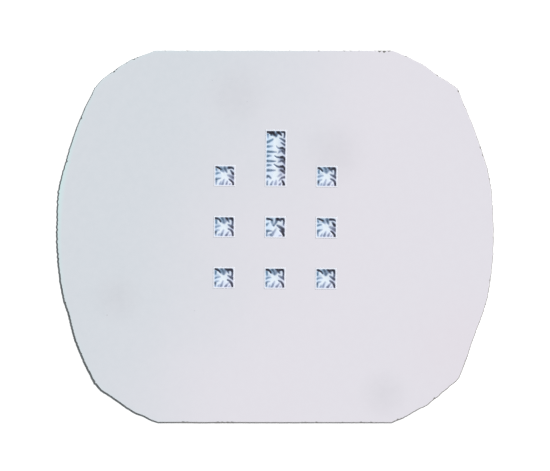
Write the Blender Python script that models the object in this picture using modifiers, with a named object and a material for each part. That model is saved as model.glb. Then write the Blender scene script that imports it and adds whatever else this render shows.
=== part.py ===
"""Thin-film window chip for a 3 mm electron-microscope specimen holder.

A silicon frame, etched through from its back in nine places, carries a thin film on its front face.
The film is free-standing over the nine openings: eight small squares and one tall window. The mask
film that set the etching out stays on the back face. Metres, +Z up, front face up, tall window
towards +Y.
"""

import math

import bmesh
import bpy
from mathutils import Vector

MM = 0.001
UM = 0.000001

# Whole chip
CHIP_HEIGHT = 0.100 * MM  # back of the mask film to the front of the window film
FILM = 4 * UM  # thickness of each film
JOIN = 0.5 * UM  # room left between bonded layers
WALL_ANGLE = math.radians(54.7356)  # the crystal planes that stop the etch
FRAME_HEIGHT = CHIP_HEIGHT - 2 * FILM - 2 * JOIN
WALL_RUN = FRAME_HEIGHT / math.tan(WALL_ANGLE)  # how far a wall leans over the frame's height

# Outline of the front face: flats along both long edges, a shallow corner facet at each end of a
# flat, and a bowed side from knee to knee. Each corner is (end of the flat, knee, rise of the facet
# over its chord).
CORNERS = {
    "lower_right": ((0.800 * MM, -1.280 * MM), (1.262 * MM, -0.970 * MM), 0.031 * MM),
    "upper_right": ((0.800 * MM, 1.280 * MM), (1.245 * MM, 1.010 * MM), 0.028 * MM),
    "upper_left": ((-0.822 * MM, 1.280 * MM), (-1.236 * MM, 1.017 * MM), 0.037 * MM),
    "lower_left": ((-0.803 * MM, -1.280 * MM), (-1.240 * MM, -1.010 * MM), 0.030 * MM),
}
HALF_LENGTH = 1.500 * MM  # where the bowed sides reach
CORNER_STEPS = 6
SIDE_STEPS = 14
FILM_SETBACK = 8 * UM  # bare silicon left round the edge of each film

# Window array
PITCH = 0.350 * MM
SQUARE = 0.129 * MM  # side of a square opening in the front face
LONG_SIDE = 0.373 * MM  # height of the tall opening
LEDGE = 10 * UM  # band of each window that lies on the frame
UNDERCUT = 3 * UM  # how far the mask film overhangs the wells
ARRAY_X = 0.003 * MM
ARRAY_Y = 0.067 * MM
ARRAY_TURN = math.radians(-0.5)
SAG = 7 * UM  # depth of a window's dish
SPAN_STEPS = 8  # grid squares across a window

FRAME_BASE = FILM + JOIN
FRAME_TOP = FRAME_BASE + FRAME_HEIGHT
FILM_BASE = FRAME_TOP + JOIN
OVERSHOOT = 5 * UM  # how far a cutter runs past what it cuts

# name: (column, row, height of the opening), counted in pitches from the centre window
WINDOWS = {
    "window_top_left": (-1, 1, SQUARE),
    "window_long": (0, 1, LONG_SIDE),
    "window_top_right": (1, 1, SQUARE),
    "window_middle_left": (-1, 0, SQUARE),
    "window_centre": (0, 0, SQUARE),
    "window_middle_right": (1, 0, SQUARE),
    "window_bottom_left": (-1, -1, SQUARE),
    "window_bottom_centre": (0, -1, SQUARE),
    "window_bottom_right": (1, -1, SQUARE),
}

# name: (colour, roughness, metallic)
FINISHES = {
    "etched_silicon": ((0.30, 0.30, 0.33), 0.35, 0.6),
    "film_on_silicon": ((0.76, 0.76, 0.80), 0.15, 0.0),
    "mask_film": ((0.62, 0.66, 0.74), 0.22, 0.0),
    "free_film": ((0.74, 0.86, 0.95), 0.08, 0.0),
}


def clear_scene():
    for obj in list(bpy.data.objects):
        bpy.data.objects.remove(obj, do_unlink=True)


def new_collection(name):
    collection = bpy.data.collections.new(name)
    bpy.context.scene.collection.children.link(collection)
    return collection


def finish(name):
    """The Principled material of one finish, made the first time it is asked for."""
    material = bpy.data.materials.get(name)
    if material is None:
        colour, roughness, metallic = FINISHES[name]
        material = bpy.data.materials.new(name)
        material.use_nodes = True
        shader = material.node_tree.nodes["Principled BSDF"]
        shader.inputs["Base Color"].default_value = (*colour, 1)
        shader.inputs["Roughness"].default_value = roughness
        shader.inputs["Metallic"].default_value = metallic
    return material


def add_object(name, bm, collection, material=None):
    bmesh.ops.recalc_face_normals(bm, faces=bm.faces)
    mesh = bpy.data.meshes.new(name)
    bm.to_mesh(mesh)
    bm.free()
    obj = bpy.data.objects.new(name, mesh)
    collection.objects.link(obj)
    if material:
        mesh.materials.append(finish(material))
    return obj


def arc(start, end, rise, steps):
    """Points of a circular arc that bows to the right of start-to-end, without its end point."""
    start, end = Vector(start), Vector(end)
    chord = end - start
    outward = Vector((chord.y, -chord.x)).normalized()
    radius = (chord.length_squared / 4 + rise * rise) / (2 * rise)
    centre = (start + end) / 2 - outward * (radius - rise)
    half_angle = math.asin(chord.length / (2 * radius))
    points = []
    for step in range(steps):
        angle = half_angle * (2 * step / steps - 1)
        along = chord.normalized() * math.sin(angle)
        points.append(centre + radius * (outward * math.cos(angle) + along))
    return points


def bowed_side(start, end):
    """The side from knee to knee, bowed so that it just reaches HALF_LENGTH."""
    rise = HALF_LENGTH - (abs(start[0]) + abs(end[0])) / 2
    return arc(start, end, rise, SIDE_STEPS)


def front_outline():
    """The front face's outline, anticlockwise seen from above."""
    flat_lr, knee_lr, rise_lr = CORNERS["lower_right"]
    flat_ur, knee_ur, rise_ur = CORNERS["upper_right"]
    flat_ul, knee_ul, rise_ul = CORNERS["upper_left"]
    flat_ll, knee_ll, rise_ll = CORNERS["lower_left"]
    outline = arc(flat_lr, knee_lr, rise_lr, CORNER_STEPS)
    outline += bowed_side(knee_lr, knee_ur)
    outline += arc(knee_ur, flat_ur, rise_ur, CORNER_STEPS)
    outline.append(Vector(flat_ur))
    outline += arc(flat_ul, knee_ul, rise_ul, CORNER_STEPS)
    outline += bowed_side(knee_ul, knee_ll)
    outline += arc(knee_ll, flat_ll, rise_ll, CORNER_STEPS)
    outline.append(Vector(flat_ll))
    return outline


def inset(outline, distance):
    """The outline moved inwards by a distance, with mitred corners."""
    moved = []
    for index, point in enumerate(outline):
        before = (point - outline[index - 1]).normalized()
        after = (outline[(index + 1) % len(outline)] - point).normalized()
        normal_before = Vector((-before.y, before.x))
        normal_after = Vector((-after.y, after.x))
        mitre = (normal_before + normal_after) / (1 + normal_before.dot(normal_after))
        moved.append(point + mitre * distance)
    return moved


def add_ring(bm, outline, z):
    verts = [bm.verts.new((point.x, point.y, z)) for point in outline]
    return [bm.edges.new((verts[i - 1], verts[i])) for i in range(len(verts))]


def add_plate(name, lower, lower_z, upper, upper_z, collection, material):
    """A plate whose upper and lower faces may differ in size."""
    bm = bmesh.new()
    edges = add_ring(bm, lower, lower_z) + add_ring(bm, upper, upper_z)
    bmesh.ops.bridge_loops(bm, edges=edges)
    bmesh.ops.holes_fill(bm, edges=edges)
    return add_object(name, bm, collection, material)


def window_middle(name):
    """A window's centre in the array. The tall one keeps its lower edge level with its row."""
    column, row, height = WINDOWS[name]
    return Vector((column * PITCH, row * PITCH + (height - SQUARE) / 2, 0))


def add_cutters(name, lower_z, upper_z, lower_grow, upper_grow, collection, array):
    """One cutter mesh with a block for each window. Grow is how far a face passes the opening."""
    cutter_bm = bmesh.new()
    for window, (_, _, height) in WINDOWS.items():
        middle = window_middle(window)
        for vert in bmesh.ops.create_cube(cutter_bm, size=1)["verts"]:
            grow = upper_grow if vert.co.z > 0 else lower_grow
            vert.co = middle + Vector(
                (
                    math.copysign(SQUARE / 2 + grow, vert.co.x),
                    math.copysign(height / 2 + grow, vert.co.y),
                    upper_z if vert.co.z > 0 else lower_z,
                )
            )
    cutters = add_object(name, cutter_bm, collection)
    cutters.parent = array
    cutters.hide_render = True
    cutters.display_type = "WIRE"
    return cutters


def cut(obj, cutters):
    boolean = obj.modifiers.new(cutters.name, "BOOLEAN")
    boolean.operation = "DIFFERENCE"
    boolean.solver = "EXACT"
    boolean.object = cutters


def grid_place(index, steps, half_span):
    """Grid line 0 and the last are the ledge's outer edge; the rest share the span evenly."""
    inner = min(max(index, 1), steps - 1)
    place = half_span * (2 * (inner - 1) / (steps - 2) - 1)
    return place + LEDGE * (index - inner)


def add_window(name, collection, array):
    """A window: the film over one opening, dished inside it and flat on its ledge."""
    half = Vector((SQUARE / 2, WINDOWS[name][2] / 2))
    steps = [SPAN_STEPS + 2, round(SPAN_STEPS * half.y / half.x) + 2]
    bm = bmesh.new()
    bmesh.ops.create_grid(bm, x_segments=steps[0], y_segments=steps[1], size=1)
    for vert in bm.verts:
        column = round((vert.co.x + 1) / 2 * steps[0])
        row = round((vert.co.y + 1) / 2 * steps[1])
        x = grid_place(column, steps[0], half.x)
        y = grid_place(row, steps[1], half.y)
        inside_x = max(0, 1 - (x / half.x) ** 2)
        inside_y = max(0, 1 - (y / half.y) ** 2)
        vert.co = (x, y, -SAG * math.sqrt(inside_x * inside_y))
    window = add_object(name, bm, collection, "free_film")
    window.location = window_middle(name) + Vector((0, 0, CHIP_HEIGHT))
    window.parent = array
    solidify = window.modifiers.new("film_thickness", "SOLIDIFY")
    solidify.thickness = FILM
    solidify.offset = -1
    window.data.shade_smooth()
    return window


def main():
    clear_scene()
    chip = new_collection("window_chip")
    helpers = new_collection("cutters")
    helpers.hide_render = True

    array = bpy.data.objects.new("window_array", None)
    array.location = (ARRAY_X, ARRAY_Y, 0)
    array.rotation_euler = (0, 0, ARRAY_TURN)
    array.empty_display_size = PITCH
    chip.objects.link(array)

    front = front_outline()
    back = inset(front, WALL_RUN)
    frame = add_plate(
        "silicon_frame", back, FRAME_BASE, front, FRAME_TOP, chip, "etched_silicon"
    )
    slope = 1 / math.tan(WALL_ANGLE)
    cut(
        frame,
        add_cutters(
            "wells",
            FRAME_BASE - OVERSHOOT,
            FRAME_TOP + OVERSHOOT,
            WALL_RUN + OVERSHOOT * slope,
            -OVERSHOOT * slope,
            helpers,
            array,
        ),
    )

    film_edge = inset(front, FILM_SETBACK)
    front_film = add_plate(
        "front_film", film_edge, FILM_BASE, film_edge, CHIP_HEIGHT, chip, "film_on_silicon"
    )
    seat = LEDGE + JOIN
    cut(
        front_film,
        add_cutters(
            "seats", FILM_BASE - OVERSHOOT, CHIP_HEIGHT + OVERSHOOT, seat, seat, helpers, array
        ),
    )

    mask_edge = inset(back, FILM_SETBACK)
    back_film = add_plate("back_film", mask_edge, 0, mask_edge, FILM, chip, "mask_film")
    mask_grow = WALL_RUN - UNDERCUT
    cut(
        back_film,
        add_cutters(
            "mask_openings", -OVERSHOOT, FILM + OVERSHOOT, mask_grow, mask_grow, helpers, array
        ),
    )

    for name in WINDOWS:
        add_window(name, chip, array)


main()
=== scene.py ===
"""Looks for the thin-film window chip, laid out as a Blender add-on and run as a script.

Each operator builds one piece, or one group of like pieces, round the packed frame. Metres, +Z up,
the chip's front face up. Sizes and places come from the packed solids and from the settings below.
"""

import math

import bmesh
import bpy
import numpy as np
from mathutils import Matrix, Vector, noise
from mathutils.geometry import delaunay_2d_cdt


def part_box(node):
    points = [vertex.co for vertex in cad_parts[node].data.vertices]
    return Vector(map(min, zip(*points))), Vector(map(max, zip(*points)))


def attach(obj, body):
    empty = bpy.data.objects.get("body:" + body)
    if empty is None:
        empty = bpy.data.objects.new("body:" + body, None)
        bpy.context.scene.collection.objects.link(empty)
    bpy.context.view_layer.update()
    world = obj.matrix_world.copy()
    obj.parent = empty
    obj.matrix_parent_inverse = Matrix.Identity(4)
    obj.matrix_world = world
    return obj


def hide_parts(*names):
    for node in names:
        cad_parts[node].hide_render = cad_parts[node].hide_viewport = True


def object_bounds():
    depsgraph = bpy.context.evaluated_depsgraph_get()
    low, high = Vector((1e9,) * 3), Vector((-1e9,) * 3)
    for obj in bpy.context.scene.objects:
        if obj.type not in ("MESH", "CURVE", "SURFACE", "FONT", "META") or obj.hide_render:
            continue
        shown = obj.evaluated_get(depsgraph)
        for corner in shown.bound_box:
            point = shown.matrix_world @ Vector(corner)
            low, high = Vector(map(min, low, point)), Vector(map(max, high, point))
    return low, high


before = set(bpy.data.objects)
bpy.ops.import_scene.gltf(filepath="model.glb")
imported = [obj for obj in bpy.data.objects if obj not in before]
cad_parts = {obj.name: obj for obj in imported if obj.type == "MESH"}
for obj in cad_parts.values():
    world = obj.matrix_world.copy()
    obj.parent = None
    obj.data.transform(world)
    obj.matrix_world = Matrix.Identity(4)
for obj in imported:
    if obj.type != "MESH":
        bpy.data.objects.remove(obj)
CAD_LOW, CAD_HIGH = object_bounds()

bl_info = {
    "name": "Thin-film window chip",
    "version": (1, 0, 0),
    "blender": (4, 5, 0),
    "location": "View3D > Sidebar > Window Chip",
    "description": "Builds the detailed pieces of a silicon chip with thin-film windows",
    "category": "Mesh",
}

UM = 1e-6
MM = 1e-3
WINDOWS = sorted(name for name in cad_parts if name.startswith("window_"))
FRAME_LOW, FRAME_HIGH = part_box("silicon_frame")
FILM_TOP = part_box("front_film")[1].z
MASK_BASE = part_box("back_film")[0].z


# ---- Settings ----


def size(name, description, default):
    return bpy.props.FloatProperty(
        name=name, description=description, default=default, min=0, precision=7, unit="LENGTH"
    )


def colour(name, description, default):
    return bpy.props.FloatVectorProperty(
        name=name, description=description, default=default, min=0, max=1, subtype="COLOR"
    )


def strength(name, description, default):
    return bpy.props.FloatProperty(name=name, description=description, default=default, min=0)


class ChipSettings(bpy.types.PropertyGroup):
    """Sizes and colours of the silicon frame."""

    outline_step: size("Outline step", "Distance between points along the rim", 7 * UM)
    stair: size("Stair", "Jog between the crystal steps along a bowed side", 7 * UM)
    nibble: size("Nibble", "Waviness of the corner facets", 7 * UM)
    lip: size("Lip", "Width of the bevel along the front edge", 3 * UM)
    flute: size("Flute", "Depth of the grooves down the outer walls", 3 * UM)
    terrace: size("Terrace", "Waviness of the terraces down a well", 0.8 * UM)
    silicon: colour("Silicon", "Bare etched silicon", (0.12, 0.135, 0.14))
    mottled: colour("Mottled silicon", "Paler patches of the silicon", (0.174, 0.19575, 0.203))
    # Worn silicon is both wear on the broken edges and a painted highlight along the rim towards +X
    worn_and_lit: colour("Worn silicon", "Silicon on the broken edges", (0.40, 0.37, 0.35))


class FilmSettings(bpy.types.PropertyGroup):
    """Sizes and colours of the films on the two faces."""

    least_setback: size("Least setback", "Bare silicon where the film reaches furthest", 3.2 * UM)
    most_setback: size("Most setback", "Bare silicon where the film has drawn back", 16 * UM)
    fringe: size("Fringe", "Width of the thinned border of a film", 26 * UM)
    soft: size("Soft edge", "Rounding of the front film's edge", 1.5 * UM)
    gap: size("Gap", "Space between the front film and a window", 0.3 * UM)
    mask_margin: size("Mask margin", "Bare silicon round the mask film", 5 * UM)
    mask_soft: size("Mask soft edge", "Rounding of the mask film's edge", 1 * UM)
    overhang: size("Overhang", "How far the mask film overhangs a well", 3 * UM)
    mask_wave: size("Mask wave", "Waviness of the mask film's openings", 1.2 * UM)
    cool: colour("Cool film", "Front film on the -X side", (0.712, 0.752, 0.800))
    warm: colour("Warm film", "Front film on the +X side", (0.828, 0.802, 0.862))
    smudge: colour("Smudge", "Faint marks on the front film", (0.60, 0.595, 0.64))
    blush: colour("Blush", "Warmest part of the front film", (0.84, 0.76, 0.82))
    haze: colour("Haze", "Fine pale grain of the front film", (0.90, 0.90, 0.94))
    dust: colour("Dust", "Specks on the front film", (0.25, 0.25, 0.28))
    thin: colour("Thin film", "Fringe where the front film thins out", (0.66, 0.88, 0.88))
    mask: colour("Mask film", "Film on the back face", (0.42, 0.50, 0.66))
    mask_lilac: colour("Lilac mask", "Thicker patches of the mask film", (0.50, 0.46, 0.64))
    mask_scuff: colour("Mask scuffs", "Scuffs on the mask film", (0.70, 0.74, 0.80))
    mask_thin: colour("Thin mask", "Fringe where the mask film thins out", (0.60, 0.74, 0.76))


class WindowSettings(bpy.types.PropertyGroup):
    """Sizes and colours of the free-standing windows."""

    grid: size("Grid", "Distance between points across a window", 1.6 * UM)
    ledge: size("Ledge", "Band of a window that lies on the frame", 10 * UM)
    bead: size("Bead", "Height of the stressed bead round an opening", 0.4 * UM)
    thickness: size("Thickness", "Thickness of the film", 1.2 * UM)
    sag: size("Sag", "Depth of a window's middle below its rim", 7 * UM)
    pleat: size("Pleat", "Depth of the deepest folds", 3.2 * UM)
    # Painted highlight on the ridges and in the middle of a window
    crest: colour("Crest", "Ridges between the folds", (0.87, 0.95, 1.0))
    # Painted highlight: the pale halo on the bead round an opening
    highlighted: colour("Highlighted", "The bead round an opening", (0.92, 0.93, 1.0))
    ice: colour("Ice", "Flat film on the -X side", (0.66, 0.82, 0.98))
    # Slate, teal, lilac, plum, navy and black are painted shade down the folds, tinted blue on the
    # -X side and mauve on the +X side
    slate: colour("Slate", "Edge of a fold on the -X side", (0.40, 0.52, 0.70))
    teal: colour("Teal", "Flank of a fold on the -X side", (0.16, 0.28, 0.41))
    pearl: colour("Pearl", "Flat film on the +X side", (0.82, 0.86, 1.0))
    lilac: colour("Lilac", "Edge of a fold on the +X side", (0.47, 0.50, 0.68))
    plum: colour("Plum", "Flank of a fold on the +X side", (0.18, 0.185, 0.27))
    navy: colour("Navy", "Bottom of a deep fold", (0.055, 0.056, 0.085))
    black: colour("Black", "Deepest part of a fold", (0.012, 0.012, 0.022))


class StageSettings(bpy.types.PropertyGroup):
    """Camera, lights and floor."""

    lens: bpy.props.FloatProperty(
        name="Lens", description="Focal length", default=200, min=20, unit="CAMERA"
    )
    field: size("Field", "Width of the view at the chip", 3.771 * MM)
    aim_x: size("Aim X", "Place of the camera along the chip", 0.0007 * MM)
    aim_y: size("Aim Y", "Place of the camera across the chip", 0.0098 * MM)
    key: strength("Key", "Strength of the key light", 2.3)
    key_spread: bpy.props.FloatProperty(
        name="Key spread",
        description="Angle over which the key light spreads",
        default=math.radians(16),
        unit="ROTATION",
    )
    key_colour: colour("Key colour", "Colour of the key light", (1.0, 0.985, 0.97))
    fill: strength("Fill", "Strength of the light from all round", 0.50)
    fill_colour: colour("Fill colour", "Colour of the light from all round", (0.96, 0.98, 1.0))
    glow: strength("Glow", "Strength of the light from within the floor", 0.86)
    floor: colour("Floor", "Pale floor", (0.90, 0.90, 0.90))
    floor_cloud: colour("Floor cloud", "Darker patches of the floor", (0.882, 0.882, 0.882))


SETTINGS = {
    "chip_settings": ChipSettings,
    "film_settings": FilmSettings,
    "window_settings": WindowSettings,
    "stage_settings": StageSettings,
}


# ---- Shader maths as Python expressions ----


class Signal:
    """A shader socket that can be used in Python expressions."""

    def __init__(self, tree, socket=None):
        self.tree = tree
        self.socket = socket

    def node(self, kind, settings=None, inputs=None, output=0):
        """Adds any node: its settings are set first, then the values or links of its sockets."""
        made = self.tree.nodes.new(kind)
        for name, value in (settings or {}).items():
            if name == "stops":
                set_stops(made.color_ramp, value)
            else:
                setattr(made, name, value)
        for name, value in (inputs or {}).items():
            self.feed(made.inputs[name], value)
        return Signal(self.tree, made.outputs[output])

    def feed(self, socket, value):
        if isinstance(value, Signal):
            self.tree.links.new(value.socket, socket)
        elif socket.type == "RGBA":
            socket.default_value = (*value, 1)
        else:
            socket.default_value = value

    def maths(self, operation, first, second):
        return self.node("ShaderNodeMath", {"operation": operation}, {0: first, 1: second})

    def __add__(self, other):
        return self.maths("ADD", self, other)

    __radd__ = __add__

    def __mul__(self, other):
        return self.maths("MULTIPLY", self, other)

    __rmul__ = __mul__

    def __sub__(self, other):
        return self.maths("SUBTRACT", self, other)

    def __rsub__(self, other):
        return self.maths("SUBTRACT", other, self)

    def between(self, low, high):
        """0 at low, 1 at high, smooth and clamped between them."""
        settings = {"interpolation_type": "SMOOTHSTEP"}
        return self.node(
            "ShaderNodeMapRange", settings, {"Value": self, "From Min": low, "From Max": high}
        )

    def blend(self, first, second):
        """The colour that goes from first, where this is 0, to second, where it is 1."""
        settings = {"data_type": "RGBA", "clamp_factor": True}
        return self.node("ShaderNodeMix", settings, {0: self, 6: first, 7: second}, 2)

    def over(self, base, paint, strength):
        """The base with paint laid over it where this is 1, at a strength from 0 to 1."""
        return (self * strength).blend(base, paint)


def set_stops(ramp, stops):
    while len(ramp.elements) < len(stops):
        ramp.elements.new(0.5)
    for element, (place, shade) in zip(ramp.elements, stops):
        element.position = place
        element.color = (*shade, 1)


class Finish:
    """A new Principled material and the signals that most finishes start from."""

    def __init__(self, name, **constants):
        self.material = bpy.data.materials.new(name)
        self.material.use_nodes = True
        tree = self.material.node_tree
        self.shader = tree.nodes["Principled BSDF"]
        self.root = Signal(tree)
        self.place = self.root.node("ShaderNodeTexCoord", output="Object")
        self.set(**constants)

    def set(self, **values):
        for name, value in values.items():
            self.root.feed(self.shader.inputs[name.replace("_", " ")], value)

    def grain(self, period, detail, stretch=(1, 1, 1), seed=0.0):
        """Noise from 0 to 1 whose features are about one period across. The seed shifts it."""
        scaled = self.root.node(
            "ShaderNodeMapping",
            inputs={"Vector": self.place, "Scale": stretch, "Location": (seed * MM,) * 3},
        )
        return self.root.node(
            "ShaderNodeTexNoise",
            inputs={"Vector": scaled, "Scale": 1 / period, "Detail": detail, "Roughness": 0.55},
        )

    def specks(self, spacing, radius):
        """1 in small round specks that lie about one spacing apart, 0 between them."""
        distance = self.root.node(
            "ShaderNodeTexVoronoi",
            inputs={"Vector": self.place, "Scale": 1 / spacing, "Randomness": 1.0},
        )
        return 1 - distance.between(radius / spacing * 0.5, radius / spacing)

    def spot(self, x, y, radius):
        """1 at a point of the front face, fading to 0 at a radius from it."""
        away = self.root.node(
            "ShaderNodeVectorMath",
            {"operation": "DISTANCE"},
            {0: self.place, 1: (x, y, FILM_TOP)},
            output="Value",
        )
        return 1 - away.between(0, radius)

    def ramp(self, value, places, shades):
        """The shade of a value on a scale from 0 to 1, with one shade at each of the places."""
        stops = list(zip(places, shades))
        return self.root.node("ShaderNodeValToRGB", {"stops": stops}, {"Fac": value})

    def attribute(self, name):
        return self.root.node("ShaderNodeAttribute", {"attribute_name": name}, output="Fac")

    def axis(self, name):
        return self.root.node("ShaderNodeSeparateXYZ", inputs={"Vector": self.place}, output=name)

    def bump(self, height, distance, strength=1.0):
        relief = self.root.node(
            "ShaderNodeBump", inputs={"Height": height, "Distance": distance, "Strength": strength}
        )
        self.set(Normal=relief)


# ---- Finishes ----

# Smudges on the front film: where each lies and how far it reaches
SMUDGES = (
    (-0.26 * MM, 0.97 * MM, 0.28 * MM),
    (0.41 * MM, 0.57 * MM, 0.28 * MM),
    (-1.08 * MM, -0.42 * MM, 0.22 * MM),
    (0.75 * MM, -1.08 * MM, 0.22 * MM),
)

# Where the front film is warmest and where its fringe is strongest, and how far each reaches
BLUSH = (1.25 * MM, -0.75 * MM, 0.55 * MM)
BRIGHT_FRINGE = (-1.48 * MM, 0.30 * MM, 0.9 * MM)

# Where the colours of a fold's painted shade stand on the scale from lying flat, at 0, to the
# deepest, at 1
FOLD_STOPS = (0.0, 0.2, 0.4, 0.66, 1.0)


def silicon_finish(settings):
    """Etched silicon: dark grey crystal planes, with pits, streaks down the walls and pale wear, and
    a rim painted paler towards +X as a painted highlight on the key light's side.
    """
    finish = Finish("etched_silicon")
    mottle = finish.grain(period=60 * UM, detail=4)
    streaks = finish.grain(period=9 * UM, detail=2, stretch=(1, 1, 0.12))
    chips = finish.grain(period=14 * UM, detail=3, seed=3).between(0.42, 0.68)
    pits = finish.specks(spacing=16 * UM, radius=5 * UM)
    base = mottle.between(0.3, 0.7).blend(settings.silicon, settings.mottled)
    x = finish.axis("X")
    # Painted light: the rim is painted paler from the middle to the +X end, on the key light's side,
    # and darkest at the -X end, where the edge is in shade
    pale = 0.6 * x.between(-0.95 * MM, -0.55 * MM) + 0.4 * x.between(0.6 * MM, 1.2 * MM)
    worn_and_lit = finish.attribute("rim") * (0.2 * chips + 0.75 * pale)
    finish.set(
        Base_Color=worn_and_lit.blend(base, settings.worn_and_lit),
        Roughness=0.26 + 0.3 * streaks,
        Metallic=0.35 + 0.2 * mottle,
    )
    finish.bump(streaks * 0.7 + mottle * 0.5 - pits * 0.6, distance=1.2 * UM)
    return finish.material


def front_film_finish(settings):
    """Thin film over polished silicon: nearly white, drifting from cool to warm as its thickness
    changes, with faint smudges, specks of dust and a cyan fringe where it thins out at the rim."""
    finish = Finish("film_on_silicon", IOR=1.5, Coat_IOR=1.46, Coat_Roughness=0.04)
    cloud = finish.grain(period=0.9 * MM, detail=2, seed=1)
    fine = finish.grain(period=45 * UM, detail=4, seed=5)
    dusty = finish.grain(period=0.5 * MM, detail=1, seed=8).between(0.45, 0.6)
    dust = finish.specks(spacing=150 * UM, radius=6 * UM) * dusty
    first, *others = [finish.spot(*place) for place in SMUDGES]
    smudge = sum(others, first)
    drift = finish.axis("X") - finish.axis("Y") * 0.4
    warmth = (drift + (cloud - 0.5) * (0.9 * MM)).between(-1.25 * MM, 0.45 * MM)
    fringe = finish.attribute("rim") * (1 - warmth) * (0.2 + 0.8 * finish.spot(*BRIGHT_FRINGE))
    base = warmth.blend(settings.cool, settings.warm)
    base = smudge.over(base, settings.smudge, strength=0.26)
    base = finish.spot(*BLUSH).over(base, settings.blush, strength=0.30)
    base = fine.between(0.25, 0.75).over(base, settings.haze, strength=0.10)
    base = dust.over(base, settings.dust, strength=0.28)
    base = fringe.over(base, settings.thin, strength=0.85)
    finish.set(
        Base_Color=base,
        Roughness=0.12 + 0.10 * fine + 0.18 * smudge,
        Coat_Weight=0.35 + 0.2 * cloud,
    )
    finish.bump(fine * 0.4 + dust * 0.8, distance=0.25 * UM, strength=0.5)
    return finish.material


def mask_film_finish(settings):
    """The film on the back: deeper blue, with scuffs from handling and a paler rim."""
    finish = Finish("mask_film", Metallic=0.15, IOR=1.9)
    cloud = finish.grain(period=0.7 * MM, detail=3, seed=11)
    handled = finish.grain(period=0.6 * MM, detail=1, seed=2).between(0.45, 0.7)
    scratches = finish.grain(period=30 * UM, detail=4, stretch=(1, 0.08, 1), seed=4)
    scuffs = scratches.between(0.60, 0.72) * handled
    fine = finish.grain(period=25 * UM, detail=3, seed=6)
    base = cloud.between(0.3, 0.7).blend(settings.mask, settings.mask_lilac)
    base = scuffs.over(base, settings.mask_scuff, strength=0.5)
    base = finish.attribute("rim").over(base, settings.mask_thin, strength=0.5)
    finish.set(Base_Color=base, Roughness=0.14 + 0.3 * scuffs + 0.1 * cloud)
    finish.bump(fine * 0.4 + scuffs * 0.6, distance=0.3 * UM, strength=0.6)
    return finish.material


def free_film_finish(settings):
    """A buckled window: icy where the film lies flat, with painted shade in steel blue and then navy
    down the folds, painted highlight on the ridges and the middle, a pale halo painted on the bead
    round the opening, and the colour drifting towards lavender on the +X side."""
    finish = Finish("free_film", IOR=1.4, Coat_Roughness=0.2)
    # Painted shade: the folds' darkness, strongest where they face away from the key light
    pocket = finish.attribute("pocket")
    ripple = finish.grain(period=7 * UM, detail=3, seed=7)
    creases = finish.grain(period=13 * UM, detail=2, seed=9)
    depth = pocket + (ripple - 0.5) * 0.10 + (creases - 0.5) * (0.10 + 0.7 * pocket)
    cold = (settings.ice, settings.slate, settings.teal, settings.navy, settings.black)
    cold = finish.ramp(depth, FOLD_STOPS, cold)
    mauve = (settings.pearl, settings.lilac, settings.plum, settings.navy, settings.black)
    mauve = finish.ramp(depth, FOLD_STOPS, mauve)
    base = finish.attribute("tint").blend(cold, mauve)
    # Painted highlight on the ridges and the middle
    base = finish.attribute("crest").over(base, settings.crest, strength=0.8)
    # Painted highlight: a pale halo round the opening, over the bead
    base = finish.attribute("ledge").over(base, settings.highlighted, strength=0.7 + 0.3 * ripple)
    finish.set(
        Base_Color=base,
        Roughness=0.24 + 0.12 * ripple,
        Coat_Weight=0.2 - 0.15 * pocket,
    )
    finish.bump(ripple, distance=0.15 * UM, strength=0.6)
    return finish.material


def floor_finish(settings):
    """A plain pale surface, lit a little from within like a light table."""
    finish = Finish("pale_floor", Roughness=0.85, Emission_Strength=settings.glow)
    cloud = finish.grain(period=4 * MM, detail=2)
    shade = cloud.blend(settings.floor, settings.floor_cloud)
    finish.set(Base_Color=shade, Emission_Color=shade)
    return finish.material


# ---- Outline of the chip ----

# Points within this height of a face are on it
LEVEL = 1 * UM

# Points further from the middle than this share of the chip's length are on its outline
OUTLINE_SHARE = 0.4

# Scales of the rim's raggedness: a period and a layer of the noise for each
BROAD = (150 * UM, 3.3)
COARSE = (55 * UM, 1.7)
FINE = (16 * UM, 5.2)

# Where the way out leans further along X than this, the outline is a bowed side. How far such a side
# lies outside the smooth outline, how far its steps wander, and how rough they are
SIDE_LEAN = 0.8
SIDE_OUT = 4.5 * UM
STEP_WANDER = 5 * UM
STEP_ROUGHNESS = 1.6 * UM

# The toothed middle of the bowed sides. The teeth are this many times as high as the roughness
TEETH_MIDDLE = 0.05 * MM
TEETH_REACH = 0.26 * MM
TEETH_PITCH = 34 * UM
TEETH_HEIGHT = 1.4

# A corner facet turns into a straight edge between these leans of the way out along Y
STRAIGHT_LEAN = (0.985, 0.995)

# Where the etch stopped short of the outline or ran past it: a place, its reach and the way out
SWELLS = (
    (1.37 * MM, -0.70 * MM, 0.32 * MM, -17 * UM),
    (1.48 * MM, 0.40 * MM, 0.32 * MM, 10 * UM),
    (1.23 * MM, 1.03 * MM, 0.16 * MM, 12 * UM),
    (-1.19 * MM, 1.07 * MM, 0.12 * MM, 9 * UM),
    (-1.48 * MM, 0.31 * MM, 0.26 * MM, 11 * UM),
    (-1.42 * MM, -0.55 * MM, 0.16 * MM, -9 * UM),
    (-1.19 * MM, -1.07 * MM, 0.10 * MM, 7 * UM),
)

# The way out on the side where the film draws back most, baring a wider band of dark silicon as
# painted shade on the edge that faces away from the key light
LOWER_LEFT = Vector((-0.77, -0.45))

# The chance nicks in the film: a period and a layer of the noise, and the level where they start
NICK_NOISE = (24 * UM, 9.1)
NICK_LEVEL = 0.42

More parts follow.
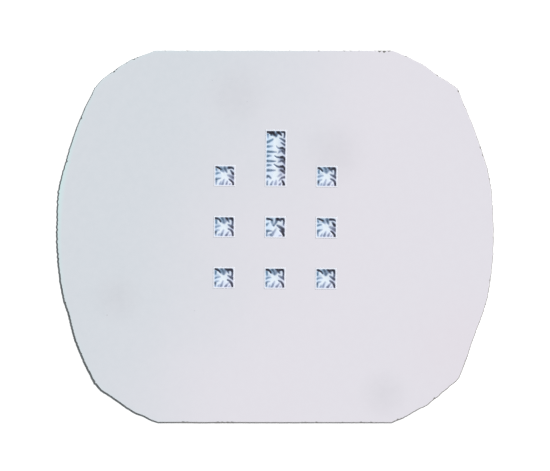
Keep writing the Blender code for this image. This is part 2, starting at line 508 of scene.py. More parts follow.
# Where the film is nicked for certain: a place, its reach and the nicks' depth as a share of the
# most setback
NICKS = (
    (0.745 * MM, 1.28 * MM, 0.07 * MM, 1.2),
    (-0.96 * MM, 1.22 * MM, 0.03 * MM, 0.8),
    (-1.10 * MM, 1.14 * MM, 0.04 * MM, 0.8),
    (0.85 * MM, -1.26 * MM, 0.05 * MM, 0.5),
    (1.30 * MM, -0.86 * MM, 0.05 * MM, 0.4),
    (-0.62 * MM, -1.28 * MM, 0.03 * MM, 0.7),
    (-0.38 * MM, -1.28 * MM, 0.04 * MM, 0.6),
    (-0.31 * MM, -1.28 * MM, 0.03 * MM, 0.7),
    (0.20 * MM, -1.28 * MM, 0.02 * MM, 0.7),
    (0.60 * MM, -1.28 * MM, 0.02 * MM, 0.7),
)


def front_corners():
    """The corners of the frame's front face, anticlockwise, read from the packed frame."""
    nearest = OUTLINE_SHARE * (FRAME_HIGH.x - FRAME_LOW.x)
    found = {}
    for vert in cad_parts["silicon_frame"].data.vertices:
        place = vert.co.to_2d()
        if vert.co.z > FRAME_HIGH.z - LEVEL and place.length > nearest:
            found[tuple(round(c / UM) for c in place)] = place
    return sorted(found.values(), key=lambda place: math.atan2(place.y, place.x))


def wall_run():
    """How far the frame's outer wall leans in from the front face to the back."""
    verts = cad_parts["silicon_frame"].data.vertices
    lowest = min(vert.co.y for vert in verts if vert.co.z < FRAME_LOW.z + LEVEL)
    return lowest - FRAME_LOW.y


def corner_moves(corners):
    """How far and which way each corner moves when every side of the outline moves out by one."""
    moves = []
    for before, here, after in zip(corners[-1:] + corners, corners, corners[1:] + corners[:1]):
        sides = (here - before).normalized(), (after - here).normalized()
        first, second = (Vector((side.y, -side.x)) for side in sides)
        moves.append((first + second) / (1 + first.dot(second)))
    return moves


def resample(corners, step):
    """Evenly spaced points along a closed outline, and the way each moves as the outline grows."""
    moves = corner_moves(corners)
    points, ways = [], []
    for i, start in enumerate(corners):
        end = corners[(i + 1) % len(corners)]
        count = max(1, round((end - start).length / step))
        for share in (j / count for j in range(count)):
            points.append(start.lerp(end, share))
            ways.append(moves[i].lerp(moves[(i + 1) % len(corners)], share))
    return points, ways


def wander(place, period, layer):
    """Smooth noise from about -1 to 1 whose features are about one period across."""
    return noise.noise(Vector((place.x / period, place.y / period, layer)))


def rise(value, low, high):
    """0 up to low, 1 from high on, and even between them."""
    return min(1.0, max(0.0, (value - low) / (high - low)))


def stepped_side(place, way, settings):
    """A bowed side runs in crystal steps, with teeth in its middle that are longest on the left."""
    fine = wander(place, *FINE)
    shift = noise.noise(Vector((place.y / (38 * UM), 0.3, place.x / (500 * UM))))
    steps = (place.x + STEP_WANDER * shift) / settings.stair
    if abs(place.y - TEETH_MIDDLE) < TEETH_REACH:
        teeth = abs((place.y / TEETH_PITCH) % 1 - 0.5) * 4 - 1
        leftness = (1.3 - way.x) / 2.3
        fine += teeth * TEETH_HEIGHT * leftness
    return SIDE_OUT - 0.9 * settings.stair * abs(round(steps) - steps) + STEP_ROUGHNESS * fine


def wavy_facet(place, way, settings):
    """A corner facet is wavy, and a straight edge only a tenth as much."""
    broad, coarse, fine = (wander(place, *scale) for scale in (BROAD, COARSE, FINE))
    straight = rise(abs(way.y), *STRAIGHT_LEAN)
    return settings.nibble * (1.1 * broad + 0.65 * coarse + 0.25 * fine) * (1 - 0.9 * straight)


def ragged_edge(place, way, settings):
    """How far the true edge lies outside the smooth one."""
    shape = stepped_side if abs(way.x) > SIDE_LEAN else wavy_facet
    offset = shape(place, way, settings)
    for x, y, reach, out in SWELLS:
        away = rise((place - Vector((x, y))).length, 0, reach)
        offset += out * (0.5 + 0.5 * math.cos(math.pi * away))
    return offset


def film_setback(place, way, settings):
    """The film draws back most along the lower left of the chip, baring a wider band of dark silicon
    there as painted shade, least along the top, and in short nicks.
    """
    # Painted shade: a wider setback at the lower left and a narrower one at the top bare more dark
    # silicon where the edge faces away from the key light
    lower_left = max(0.0, way.dot(LOWER_LEFT)) ** 2.5
    least = settings.least_setback * max(0.0, 1 - way.y) ** 0.7
    nick = 2.2 * max(0.0, wander(place, *NICK_NOISE) - NICK_LEVEL)
    broken = 0.5 + 0.5 * math.sin(place.x / (5.4 * UM) + place.y / (7 * UM))
    for x, y, reach, depth in NICKS:
        away = (place - Vector((x, y))).length
        nick += max(0.0, 1 - away / reach) * broken * depth
    return least + (settings.most_setback - least) * min(1.0, lower_left + nick)


class Rim:
    """The chip's edge: evenly spaced points, the way out at each, how far the true edge lies out
    from there, and how far the front film has drawn back from it."""

    def __init__(self, chip, film):
        self.points, self.ways = resample(front_corners(), chip.outline_step)
        spots = list(zip(self.points, self.ways))
        self.ragged = [ragged_edge(place, way, chip) for place, way in spots]
        self.setback = [film_setback(place, way, film) for place, way in spots]

    def ring(self, inset, raggedness, extra=None):
        """The edge moved in by an inset, and by an extra for each point where one is given."""
        ring = []
        for i, (point, way) in enumerate(zip(self.points, self.ways)):
            more = extra[i] if extra else 0.0
            ring.append(point + way * (self.ragged[i] * raggedness - inset - more))
        return ring


# ---- Meshes ----


def new_mesh(*names):
    """An empty mesh whose vertices can hold a value under each name."""
    bm = bmesh.new()
    for name in names:
        bm.verts.layers.float.new(name)
    return bm


def add_loop(bm, ring, z):
    """A closed loop of vertices at one height."""
    return [bm.verts.new((point.x, point.y, z)) for point in ring]


def bridge(bm, lower, upper):
    """Quads between two loops of equally many vertices."""
    for i in range(len(lower)):
        bm.faces.new((lower[i - 1], lower[i], upper[i], upper[i - 1]))


def stack(bm, loops):
    """Bridges each loop to the one after it."""
    for loop, after in zip(loops, loops[1:]):
        bridge(bm, loop, after)


def fill_flat(bm, outer, holes):
    """Fills the flat face between an outer loop and its holes. Every loop runs anticlockwise."""
    verts, owners, spots, edges = [], [], [], []
    for owner, loop in enumerate([outer, *holes]):
        first = len(verts)
        edges += [(first + i, first + (i + 1) % len(loop)) for i in range(len(loop))]
        owners += [owner] * len(loop)
        spots += range(len(loop))
        verts += loop
    flat = [vert.co.to_2d() / UM for vert in verts]
    _, _, triangles, sources, _, _ = delaunay_2d_cdt(flat, edges, [], 0, 0)
    for triangle in triangles:
        corners = [sources[i][0] for i in triangle]
        if is_wanted([owners[i] for i in corners], [spots[i] for i in corners]):
            bm.faces.new([verts[i] for i in corners])


def is_wanted(owners, spots):
    """Whether a triangle is inside the outer loop, which is owner 0, and outside the holes. One
    with all its corners on one loop is inside that loop if it goes round the same way."""
    if len(set(owners)) > 1:
        return True
    one, two, three = spots
    inside = (one < two) + (two < three) + (three < one) == 2
    return inside == (owners[0] == 0)


def face_outwards(bm):
    """Turns the faces of a closed body outwards, and stops if it isn't closed."""
    bmesh.ops.recalc_face_normals(bm, faces=bm.faces)
    if not all(edge.is_manifold for edge in bm.edges):
        raise RuntimeError("the body is not closed")


def mark(bm, name, loops):
    """Stores one value for each loop of vertices, such as 1 on a rim."""
    layer = bm.verts.layers.float[name]
    for loop, value in loops:
        for vert in loop:
            vert[layer] = value


def add_piece(name, bm, finish, node, sharp):
    """Makes the mesh an object that stands for a packed node, hides that node's own solid and hangs
    the object under the root body. Edges with a turn of more than the sharp angle, in degrees, are
    sharp."""
    mesh = bpy.data.meshes.new(name)
    bm.to_mesh(mesh)
    bm.free()
    mesh.shade_smooth()
    mesh.set_sharp_from_angle(angle=math.radians(sharp))
    mesh.materials.append(finish)
    piece = bpy.data.objects.new(name, mesh)
    bpy.context.scene.collection.objects.link(piece)
    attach(piece, "root")
    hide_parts(node)
    return piece


# ---- Window array ----

# Points along each side of an opening's loop, and how long the waves of a rough one are
SIDE_POINTS = 28
OPENING_WAVE = 9 * UM


def node_middle(name):
    low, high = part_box(name)
    return (low + high) / 2


def array_turn():
    """How far the array is turned from the chip's axes."""
    across = node_middle("window_middle_right") - node_middle("window_middle_left")
    return math.atan2(across.y, across.x)


def opening_half(name, ledge):
    """Half the width and height of a window's opening, from the box of its turned solid."""
    low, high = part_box(name)
    turn = abs(array_turn())
    cos, sin = math.cos(turn), math.sin(turn)
    width, height = high.x - low.x, high.y - low.y
    spread = cos * cos - sin * sin
    across = (width * cos - height * sin) / spread
    along = (height * cos - width * sin) / spread
    return Vector((across / 2 - ledge, along / 2 - ledge))


def opening_ring(name, ledge, grow, rough=0.0):
    """A window's opening as an anticlockwise loop, grown by a distance, and wavy if it is rough."""
    half = opening_half(name, ledge) + Vector((grow, grow))
    turn = Matrix.Rotation(array_turn(), 2)
    middle = node_middle(name).to_2d()
    signs = ((-1, -1), (1, -1), (1, 1), (-1, 1))
    corners = [Vector((half.x * x, half.y * y)) for x, y in signs]
    ring = []
    for start, end in zip(corners, corners[1:] + corners[:1]):
        for i in range(SIDE_POINTS):
            local = start.lerp(end, i / SIDE_POINTS)
            wave = wander(local, OPENING_WAVE, 3 * middle.x / OPENING_WAVE)
            ring.append(middle + turn @ (local + local.normalized() * rough * wave))
    return ring


# ---- Windows ----

# Folds of the windows. Each starts at its outer end and curves past its bend to its inner end, where
# it is narrower and fades. Places are in half-widths of the opening: across and up from the middle,
# or in the tall window across from the middle and down from the upper edge. Then come the fold's
# width in half-widths, its depth as a share of the deepest and its darkness from 0 to 1. The
# darkness is painted shade, mostly strongest along the upper and right edges, which slope away from
# the key light.
RADIAL_FOLDS = [
    ((-0.95, 0.93), (-0.60, 0.88), (-0.43, 0.54), 0.13, 1.0, 0.72),
    ((-0.26, 0.93), (-0.20, 0.86), (-0.12, 0.72), 0.13, 0.8, 0.27),
    ((-0.34, 0.74), (-0.20, 0.52), (-0.04, 0.40), 0.21, 0.3, 0.22),
    ((0.14, 0.78), (0.08, 0.60), (0.00, 0.38), 0.22, 0.3, 0.24),
    ((0.20, 0.95), (0.34, 0.82), (0.50, 0.52), 0.14, 1.0, 0.52),
    ((0.60, 0.88), (1.02, 0.98), (0.87, 0.22), 0.15, 0.8, 0.74),
    ((0.94, -0.10), (0.72, 0.05), (0.40, 0.23), 0.15, 0.9, 0.44),
    ((0.90, -0.98), (0.88, -0.40), (0.40, -0.25), 0.14, 1.0, 0.57),
    ((-0.90, 0.64), (-0.88, 0.50), (-0.86, 0.34), 0.13, 0.5, 0.32),
    ((-0.95, 0.30), (-0.75, 0.28), (-0.50, 0.24), 0.14, 0.3, 0.11),
    ((-0.97, -0.06), (-0.75, 0.06), (-0.44, 0.06), 0.13, 0.6, 0.30),
    ((-0.97, -0.56), (-0.88, -0.42), (-0.56, -0.37), 0.13, 0.6, 0.30),
    ((-0.93, -0.62), (-0.92, -0.80), (-0.88, -0.94), 0.13, 0.5, 0.30),
    ((-0.62, -0.92), (-0.58, -0.84), (-0.52, -0.74), 0.11, 0.4, 0.22),
    ((-0.32, -0.97), (-0.26, -0.75), (-0.10, -0.38), 0.14, 0.6, 0.28),
    ((0.14, -0.95), (0.25, -0.85), (0.46, -0.54), 0.14, 0.6, 0.32),
    ((0.55, -0.97), (0.60, -0.92), (0.64, -0.85), 0.10, 0.3, 0.18),
]

SLANTED_FOLDS = [
    ((-0.94, 0.93), (-0.66, 0.86), (-0.42, 0.68), 0.13, 1.0, 0.70),
    ((-0.46, 0.76), (-0.36, 0.62), (-0.18, 0.42), 0.19, 0.9, 0.27),
    ((0.02, 0.84), (0.12, 0.66), (0.24, 0.34), 0.15, 0.9, 0.40),
    ((-0.20, 0.70), (-0.06, 0.60), (0.08, 0.44), 0.17, 0.4, 0.10),
    ((0.38, 0.86), (0.80, 0.90), (0.95, 0.72), 0.13, 0.8, 0.66),
    ((0.90, 0.18), (0.80, 0.34), (0.62, 0.52), 0.14, 0.8, 0.64),
    ((0.92, -0.24), (0.65, -0.12), (0.34, 0.04), 0.18, 0.9, 0.35),
    ((0.93, -0.98), (0.80, -0.62), (0.48, -0.40), 0.14, 1.0, 0.68),
    ((-0.92, 0.68), (-0.90, 0.60), (-0.88, 0.52), 0.11, 0.4, 0.28),
    ((-0.75, 0.62), (-0.60, 0.52), (-0.45, 0.45), 0.15, 0.2, 0.10),
    ((-0.95, 0.20), (-0.75, 0.30), (-0.50, 0.28), 0.13, 0.6, 0.32),
    ((-0.92, -0.36), (-0.70, -0.36), (-0.46, -0.27), 0.13, 0.6, 0.32),
    ((-0.92, -0.45), (-0.92, -0.70), (-0.88, -0.95), 0.12, 0.5, 0.30),
    ((-0.55, -0.92), (-0.50, -0.80), (-0.40, -0.62), 0.11, 0.4, 0.20),
    ((-0.25, -0.95), (-0.22, -0.75), (-0.08, -0.44), 0.13, 0.6, 0.27),
    ((0.16, -0.93), (0.22, -0.78), (0.31, -0.56), 0.12, 0.6, 0.28),
    ((0.50, -0.95), (0.54, -0.90), (0.58, -0.84), 0.10, 0.3, 0.20),
]

CENTRE_FOLDS = [
    ((-0.92, 0.92), (-0.62, 0.88), (-0.36, 0.70), 0.14, 1.0, 0.64),
    ((-0.40, 0.70), (-0.38, 0.40), (-0.20, 0.10), 0.16, 0.8, 0.26),
    ((0.12, 0.78), (0.06, 0.50), (-0.16, 0.14), 0.15, 0.8, 0.42),
    ((0.20, 0.88), (0.38, 0.82), (0.54, 0.64), 0.15, 1.0, 0.68),
    ((0.66, 0.86), (1.02, 0.96), (0.84, 0.30), 0.13, 0.8, 0.66),
    ((0.92, -0.36), (0.72, -0.12), (0.24, 0.16), 0.18, 1.0, 0.60),
    ((0.90, -0.98), (0.82, -0.62), (0.52, -0.40), 0.14, 1.0, 0.70),
    ((-0.96, 0.20), (-0.86, 0.28), (-0.74, 0.44), 0.13, 0.6, 0.34),
    ((-0.93, -0.37), (-0.70, -0.42), (-0.42, -0.38), 0.13, 0.7, 0.38),
    ((-0.95, -0.96), (-0.93, -0.80), (-0.86, -0.58), 0.13, 0.6, 0.34),
    ((-0.64, -0.90), (-0.58, -0.82), (-0.52, -0.74), 0.11, 0.4, 0.22),
    ((-0.38, -0.95), (-0.28, -0.66), (0.08, -0.18), 0.15, 0.8, 0.34),
    ((0.46, -0.95), (0.52, -0.90), (0.58, -0.84), 0.11, 0.3, 0.18),
]

TALL_FOLDS = [
    ((-0.97, 0.05), (-0.64, 0.08), (-0.51, 0.44), 0.15, 1.0, 0.68),
    ((-0.50, 0.12), (-0.36, 0.30), (-0.22, 0.44), 0.16, 0.5, 0.46),
    ((-0.30, 0.05), (-0.20, 0.28), (-0.02, 0.58), 0.17, 0.9, 0.60),
    ((0.12, 0.10), (0.12, 0.30), (0.04, 0.52), 0.15, 0.5, 0.38),
    ((0.24, 0.06), (0.38, 0.20), (0.52, 0.46), 0.15, 1.0, 0.82),
    ((0.64, 0.08), (1.00, -0.02), (0.87, 0.68), 0.13, 0.8, 0.68),
    ((0.92, 1.08), (0.70, 0.92), (0.38, 0.74), 0.12, 0.9, 0.51),
    ((0.92, 1.48), (0.76, 1.30), (0.52, 1.22), 0.12, 0.7, 0.42),
    ((0.94, 2.02), (0.80, 1.74), (0.50, 1.78), 0.13, 0.9, 0.44),
    ((0.60, 1.78), (0.26, 1.92), (0.04, 1.58), 0.12, 0.8, 0.34),
    ((0.85, 2.12), (0.60, 2.00), (0.35, 2.10), 0.24, 0.2, 0.22),
    ((0.92, 2.40), (0.80, 2.18), (0.60, 2.12), 0.13, 0.6, 0.34),
    ((0.35, 2.20), (0.25, 2.30), (0.13, 2.44), 0.10, 0.4, 0.19),
    ((0.94, 3.02), (0.84, 2.70), (0.52, 2.75), 0.13, 1.0, 0.51),
    ((0.66, 2.75), (0.20, 2.90), (-0.12, 2.62), 0.12, 0.9, 0.47),
    ((0.85, 3.12), (0.55, 3.05), (0.30, 3.12), 0.23, 0.2, 0.22),
    ((0.92, 3.44), (0.78, 3.18), (0.52, 3.13), 0.13, 0.6, 0.36),
    ((0.40, 3.30), (0.25, 3.35), (0.10, 3.41), 0.09, 0.4, 0.17),
    ((0.94, 4.05), (0.86, 3.72), (0.54, 3.78), 0.13, 1.0, 0.53),
    ((0.68, 3.77), (0.18, 3.92), (-0.17, 3.54), 0.13, 0.9, 0.48),
    ((0.85, 4.18), (0.60, 4.10), (0.35, 4.20), 0.23, 0.2, 0.22),
    ((0.92, 4.50), (0.76, 4.22), (0.48, 4.15), 0.13, 0.6, 0.36),
    ((0.52, 4.60), (0.30, 4.72), (0.14, 4.92), 0.14, 0.5, 0.22),
    ((0.92, 4.88), (0.62, 4.95), (0.31, 5.26), 0.14, 0.7, 0.36),
    ((0.86, 5.78), (0.82, 5.50), (0.69, 5.30), 0.13, 1.0, 0.72),
    ((-0.90, 0.28), (-0.90, 0.45), (-0.88, 0.68), 0.12, 0.5, 0.32),
    ((-0.95, 1.20), (-0.60, 1.12), (-0.31, 0.85), 0.14, 0.6, 0.45),
    ((-0.95, 1.68), (-0.70, 1.64), (-0.43, 1.60), 0.13, 0.5, 0.33),
    ((-0.95, 2.20), (-0.55, 2.22), (0.02, 2.24), 0.14, 0.7, 0.47),
    ((-0.97, 2.66), (-0.80, 2.64), (-0.58, 2.62), 0.14, 0.5, 0.36),
    ((-0.97, 3.20), (-0.55, 3.20), (-0.06, 3.19), 0.14, 0.7, 0.46),
    ((-0.95, 3.64), (-0.75, 3.63), (-0.52, 3.62), 0.13, 0.5, 0.34),
    ((-0.96, 4.16), (-0.55, 4.18), (-0.10, 4.15), 0.14, 0.7, 0.41),
    ((-0.97, 4.86), (-0.80, 4.70), (-0.52, 4.96), 0.14, 0.6, 0.44),
    ((-0.95, 5.76), (-0.95, 5.60), (-0.92, 5.36), 0.13, 0.6, 0.38),
    ((-0.50, 5.75), (-0.45, 5.55), (-0.35, 5.30), 0.12, 0.5, 0.28),
    ((-0.08, 5.75), (-0.03, 5.55), (0.05, 5.26), 0.13, 0.5, 0.24),
    ((0.36, 5.74), (0.42, 5.65), (0.53, 5.56), 0.12, 0.5, 0.30),
]

FOLDS = {
    "window_long": TALL_FOLDS,
    "window_centre": CENTRE_FOLDS,
    "window_top_left": SLANTED_FOLDS,
    "window_middle_right": SLANTED_FOLDS,
}


# How a fold is drawn: how many places along its curve, how crisply they merge, how steep its flanks
# are, and how much it narrows and fades by its inner end
FOLD_SAMPLES = 14
FOLD_MERGE = 6
FOLD_STEEPNESS = 1.8
FOLD_TAPER = 0.35
FOLD_FADE = 0.35

# How far out the grid lines on a ledge are, as shares of its width
LEDGE_LINES = (1.0, 0.62, 0.3)


def window_folds(name, stretch, seed):
    """A window's folds, a little out of place, as no two windows buckle quite alike."""
    rng = np.random.default_rng(seed)
    moved = []
    for *ends, width, depth, dark in FOLDS.get(name, RADIAL_FOLDS):
        places = [np.array(place) + rng.normal(0, 0.02, 2) for place in ends]
        if name == "window_long":
            places = [(x, stretch - down) for x, down in places]
        moved.append((*places, width * rng.uniform(1.1, 1.3), depth, dark * rng.uniform(0.9, 1.08)))
    return moved


def fold_profile(u, v, outer, bend, inner, width):
    """1 along the middle of a fold, 0 away from it. It narrows and dies out at its inner end."""
    total = np.zeros_like(u)
    for t in np.linspace(0, 1, FOLD_SAMPLES):
        x = (1 - t) ** 2 * outer[0] + 2 * t * (1 - t) * bend[0] + t * t * inner[0]
        y = (1 - t) ** 2 * outer[1] + 2 * t * (1 - t) * bend[1] + t * t * inner[1]
        reach = width * (1 - FOLD_TAPER * t)
        away = ((u - x) ** 2 + (v - y) ** 2) / reach**2
        near = np.exp(-(away**FOLD_STEEPNESS))
        total += (near * (1 - FOLD_FADE * t**2)) ** FOLD_MERGE
    return total ** (1 / FOLD_MERGE)


def window_relief(u, v, stretch, folds, settings):
    """Height of a window's surface, how much shade is painted into its folds, and how much highlight
    is painted on its ridges and middle. u runs from -1 to 1 across the opening, and v from minus to
    plus stretch up it."""
    edge_u = np.clip(1 - np.abs(u), 0, 1)
    edge_v = np.clip(stretch - np.abs(v), 0, 1)
    near = np.maximum(1 - edge_u, 1 - edge_v)
    height = -settings.sag * (1 - near**1.7)
    pocket = np.zeros_like(u)
    for outer, bend, inner, width, depth, dark in folds:
        profile = fold_profile(u, v, outer, bend, inner, width)
        height -= settings.pleat * depth * profile
        # Painted shade: each fold adds its darkness on top of its real depth
        pocket = pocket + dark * profile * (1 - 0.6 * pocket)
    # Painted highlight: pale along the diagonals and in the middle, where the film lies high and
    # flat, and none in the painted shade of the folds
    diagonal = np.exp(-(((edge_u - edge_v) / 0.22) ** 2)) * (0.3 + 0.7 * (1 - near))
    crest = np.clip(diagonal + 0.8 * (1 - near) ** 2, 0, 1) * np.clip(1 - 3 * pocket, 0, 1)
    free = np.clip(np.minimum(edge_u, edge_v) / 0.08, 0, 1)
    return height * free * free * (3 - 2 * free), np.clip(pocket, 0, 1), crest


def window_lines(half, settings):
    """Grid lines across a window: some on each ledge, and even ones across the opening."""
    count = max(8, round(2 * half / settings.grid))
    inner = np.linspace(-half, half, count + 1)
    ledge = settings.ledge * np.array(LEDGE_LINES)
    return np.concatenate([-half - ledge, inner, half + ledge[::-1]])


def window_shape(name, seed, settings):
    """The points of a window's sheet round its middle, and the values that its finish reads."""
    half = opening_half(name, settings.ledge)
    x, y = np.meshgrid(window_lines(half.x, settings), window_lines(half.y, settings))
    u, v = x / half.x, y / half.x
    stretch = half.y / half.x
    folds = window_folds(name, stretch, seed)
    height, pocket, crest = window_relief(u, v, stretch, folds, settings)
    past = np.maximum(np.abs(x) - half.x, np.abs(y) - half.y) / settings.ledge
    on_ledge = past > 1e-3
    bead = settings.bead * np.sin(np.pi * np.clip(past, 0, 1)) ** 0.8
    fields = {
        "pocket": np.where(on_ledge, 0, pocket),
        "crest": crest,
        "tint": np.clip(0.45 + 0.42 * u - 0.30 * v / stretch, 0, 1),
        # Where the pale halo is painted as a highlight: over the bead and just inside the opening
        "ledge": np.clip(past * 4 + 0.35, 0, 1),
    }
    return x, y, np.where(on_ledge, bead, height), fields


def build_window(name, seed, finish, settings):
    """One window: a fine sheet, buckled inside the opening, with a low bead on its ledge."""
    x, y, height, fields = window_shape(name, seed, settings)
    turn = Matrix.Rotation(array_turn(), 3, "Z")
    middle = node_middle(name)
    middle.z = FILM_TOP
    bm = new_mesh(*fields)
    layers = [(bm.verts.layers.float[key], values) for key, values in fields.items()]
    rows = []
    for r in range(x.shape[0]):
        row = []
        for c in range(x.shape[1]):
            vert = bm.verts.new(middle + turn @ Vector((x[r, c], y[r, c], height[r, c])))
            for layer, values in layers:
                vert[layer] = values[r, c]
            row.append(vert)
        rows.append(row)
    for lower, upper in zip(rows, rows[1:]):
        for c in range(len(lower) - 1):
            bm.faces.new((lower[c], lower[c + 1], upper[c + 1], upper[c]))
    piece = add_piece(name + "_film", bm, finish, name, sharp=60)
    solidify = piece.modifiers.new("film_thickness", "SOLIDIFY")
    solidify.thickness = settings.thickness
    solidify.offset = -1


# ---- Films on the two faces ----


def film_sheet(rim, levels, setback, openings):
    """A flat film as one closed mesh. Its outer edge goes through the levels, each an inset, a
    share of the rim's raggedness and a height, from one face to the other."""
    bm = new_mesh("rim")
    loops = []
    for inset, raggedness, z in levels:
        loops.append(add_loop(bm, rim.ring(inset, raggedness, setback), z))
    stack(bm, loops)
    first_holes, last_holes = [], []
    for ring in openings:
        first_holes.append(add_loop(bm, ring, levels[0][2]))
        last_holes.append(add_loop(bm, ring, levels[-1][2]))
        bridge(bm, first_holes[-1], last_holes[-1])
    fill_flat(bm, loops[0], first_holes)
    fill_flat(bm, loops[-1], last_holes)
    face_outwards(bm)
    mark(bm, "rim", [(loop, 1.0) for loop in loops[:-1]])
    return bm


# ---- Operators ----

# Levels of the outer wall, from the foot of its bevelled lip, and of a well, as shares of the way
# down from the front face
LIP_SHARE = 0.07
WALL_SHARES = (0.14, 0.3, 0.5, 0.7, 0.88, 1.0)
WELL_SHARES = (0.0, 0.05, 0.3, 0.6, 0.85, 1.0)

# How strongly the three uppermost loops of the outer wall take the rim's wear and its painted
# highlight
LIP_WEAR_AND_LIGHT = (1.0, 0.8, 0.25)

# Distance between the grooves down the outer wall
FLUTE_PERIOD = 22 * UM

# How far the floor reaches from the middle, and how far it lies below the chip
FLOOR_REACH = 120 * MM
FLOOR_GAP = 0.2 * UM

# Width of the camera's sensor in millimetres, and the way to the key light
SENSOR_WIDTH = 36
TO_KEY = Vector((1, 1, 1.15))


def height_down(share):
    """The height at a share of the way down from the frame's front face to its back."""
    return FRAME_HIGH.z - share * (FRAME_HIGH.z - FRAME_LOW.z)


class CHIP_OT_silicon_frame(bpy.types.Operator):
    """Build the silicon frame with its stepped rim, fluted walls and etched wells"""

    bl_idname = "chip.silicon_frame"
    bl_label = "Silicon frame"

    def execute(self, context):
        scene = context.scene
        settings, ledge = scene.chip_settings, scene.window_settings.ledge
        rim = Rim(settings, scene.film_settings)
        bm = new_mesh("rim")
        wall = self.outer_wall(bm, rim, settings)
        wells = [self.well(bm, name, settings, ledge) for name in WINDOWS]
        fill_flat(bm, wall[0], [well[0] for well in wells])
        fill_flat(bm, wall[-1], [well[-1] for well in wells])
        face_outwards(bm)
        mark(bm, "rim", zip(wall, LIP_WEAR_AND_LIGHT))
        finish = silicon_finish(settings)
        add_piece("silicon_frame_body", bm, finish, "silicon_frame", sharp=50)
        return {"FINISHED"}

    @staticmethod
    def outer_wall(bm, rim, settings):
        """The bevelled lip and, below it, the wall that leans in. Its grooves start at the lip."""
        levels = [(0.0, settings.lip, 1.0), (LIP_SHARE, 0.0, 1.0)]
        levels += [(down, down * wall_run(), 1 - 0.45 * down) for down in WALL_SHARES]
        loops = []
        for down, inset, raggedness in levels:
            depth = settings.flute * min(1, down * 3)
            grooves = [depth * (0.5 + 0.5 * wander(p, FLUTE_PERIOD, 0)) for p in rim.points]
            loops.append(add_loop(bm, rim.ring(inset, raggedness, grooves), height_down(down)))
        stack(bm, loops)
        return loops

    @staticmethod
    def well(bm, name, settings, ledge):
        """A well that widens towards the back, with low terraces down its walls."""
        loops = []
        for down in WELL_SHARES:
            terrace = settings.terrace if 0 < down < 1 else 0.0
            ring = opening_ring(name, ledge, down * wall_run(), terrace)
            loops.append(add_loop(bm, ring, height_down(down)))
        stack(bm, loops)
        return loops


class CHIP_OT_front_film(bpy.types.Operator):
    """Build the front film, from its ragged edge to the nine openings"""

    bl_idname = "chip.front_film"
    bl_label = "Front film"

    def execute(self, context):
        scene = context.scene
        settings, ledge = scene.film_settings, scene.window_settings.ledge
        rim = Rim(scene.chip_settings, settings)
        edge, soft, base = scene.chip_settings.lip, settings.soft, FRAME_HIGH.z
        levels = [
            (edge, 1.0, base),
            (edge, 1.0, FILM_TOP - soft),
            (edge + soft, 1.0, FILM_TOP),
            (edge + soft + settings.fringe, 0.0, FILM_TOP),
        ]
        openings = [opening_ring(name, ledge, ledge + settings.gap) for name in WINDOWS]
        bm = film_sheet(rim, levels, rim.setback, openings)
        finish = front_film_finish(settings)
        add_piece("front_film_sheet", bm, finish, "front_film", sharp=30)
        return {"FINISHED"}


class CHIP_OT_back_film(bpy.types.Operator):
    """Build the mask film on the back, with its openings overhanging the wells"""

    bl_idname = "chip.back_film"
    bl_label = "Back film"

    def execute(self, context):
        scene = context.scene
        settings, ledge = scene.film_settings, scene.window_settings.ledge
        rim = Rim(scene.chip_settings, settings)
        run = wall_run()
        edge, soft, top = run + settings.mask_margin, settings.mask_soft, FRAME_LOW.z
        levels = [
            (edge, 0.5, top),
            (edge, 0.5, MASK_BASE + soft),
            (edge + soft, 0.5, MASK_BASE),
            (edge + settings.fringe, 0.0, MASK_BASE),
        ]
        grow, wave = run - settings.overhang, settings.mask_wave
        openings = [opening_ring(name, ledge, grow, wave) for name in WINDOWS]
        bm = film_sheet(rim, levels, None, openings)
        finish = mask_film_finish(settings)
        add_piece("back_film_sheet", bm, finish, "back_film", sharp=30)
        return {"FINISHED"}


class CHIP_OT_windows(bpy.types.Operator):
    """Build the nine buckled windows"""

    bl_idname = "chip.windows"
    bl_label = "Windows"

    def execute(self, context):
        settings = context.scene.window_settings
        finish = free_film_finish(settings)
        for seed, name in enumerate(WINDOWS):
            build_window(name, seed, finish, settings)
        return {"FINISHED"}


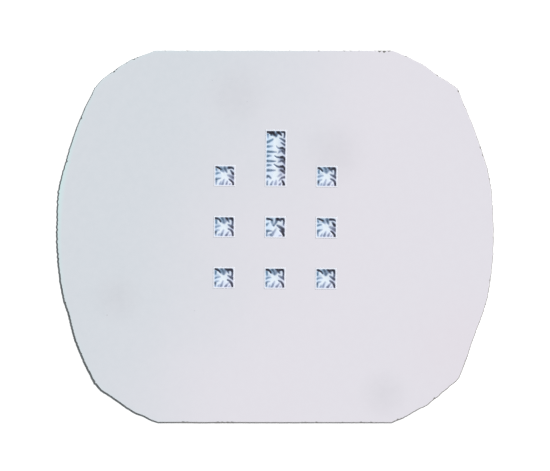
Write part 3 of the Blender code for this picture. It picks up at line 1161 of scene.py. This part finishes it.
class CHIP_OT_stage(bpy.types.Operator):
    """Set up the floor, the lights and the camera"""

    bl_idname = "chip.stage"
    bl_label = "Stage"

    def execute(self, context):
        settings = context.scene.stage_settings
        self.floor(context.scene, settings)
        self.lights(context.scene, settings)
        self.camera(context.scene, settings)
        return {"FINISHED"}

    @staticmethod
    def floor(scene, settings):
        bm = bmesh.new()
        bmesh.ops.create_grid(bm, x_segments=8, y_segments=8, size=FLOOR_REACH)
        mesh = bpy.data.meshes.new("floor")
        bm.to_mesh(mesh)
        bm.free()
        mesh.materials.append(floor_finish(settings))
        floor = bpy.data.objects.new("floor", mesh)
        floor.location.z = CAD_LOW.z - FLOOR_GAP
        scene.collection.objects.link(floor)

    @staticmethod
    def lights(scene, settings):
        key = bpy.data.lights.new("key_light", "SUN")
        key.energy = settings.key
        key.angle = settings.key_spread
        key.color = settings.key_colour
        key_object = bpy.data.objects.new("key_light", key)
        key_object.rotation_euler = TO_KEY.to_track_quat("Z", "Y").to_euler()
        scene.collection.objects.link(key_object)
        world = bpy.data.worlds.new("studio")
        world.use_nodes = True
        background = world.node_tree.nodes["Background"]
        background.inputs["Color"].default_value = (*settings.fill_colour, 1)
        background.inputs["Strength"].default_value = settings.fill
        scene.world = world
        scene.view_settings.view_transform = "Standard"
        scene.view_settings.look = "None"

    @staticmethod
    def camera(scene, settings):
        camera = bpy.data.cameras.new("camera")
        camera.lens = settings.lens
        camera.sensor_width = SENSOR_WIDTH
        distance = settings.field * settings.lens / SENSOR_WIDTH
        camera.clip_start = distance * 0.01
        camera.clip_end = distance * 20
        camera_object = bpy.data.objects.new("camera", camera)
        camera_object.location = (settings.aim_x, settings.aim_y, CAD_HIGH.z + distance)
        scene.collection.objects.link(camera_object)
        scene.camera = camera_object


OPERATORS = (
    CHIP_OT_silicon_frame,
    CHIP_OT_front_film,
    CHIP_OT_back_film,
    CHIP_OT_windows,
    CHIP_OT_stage,
)


class CHIP_PT_panel(bpy.types.Panel):
    """Lists the settings and the operators"""

    bl_idname = "CHIP_PT_panel"
    bl_label = "Window Chip"
    bl_space_type = "VIEW_3D"
    bl_region_type = "UI"
    bl_category = "Window Chip"

    def draw(self, context):
        for operator in OPERATORS:
            self.layout.operator(operator.bl_idname)
        for name, group in SETTINGS.items():
            box = self.layout.box()
            box.label(text=group.__doc__)
            for prop in group.__annotations__:
                box.prop(getattr(context.scene, name), prop)


def register():
    for group in SETTINGS.values():
        bpy.utils.register_class(group)
    for name, group in SETTINGS.items():
        setattr(bpy.types.Scene, name, bpy.props.PointerProperty(type=group))
    for item in (*OPERATORS, CHIP_PT_panel):
        bpy.utils.register_class(item)


def unregister():
    for item in reversed((*OPERATORS, CHIP_PT_panel)):
        bpy.utils.unregister_class(item)
    for name, group in reversed(SETTINGS.items()):
        delattr(bpy.types.Scene, name)
        bpy.utils.unregister_class(group)


def main():
    register()
    bpy.ops.chip.silicon_frame()
    bpy.ops.chip.front_film()
    bpy.ops.chip.back_film()
    bpy.ops.chip.windows()
    bpy.ops.chip.stage()


if __name__ == "__main__":
    main()
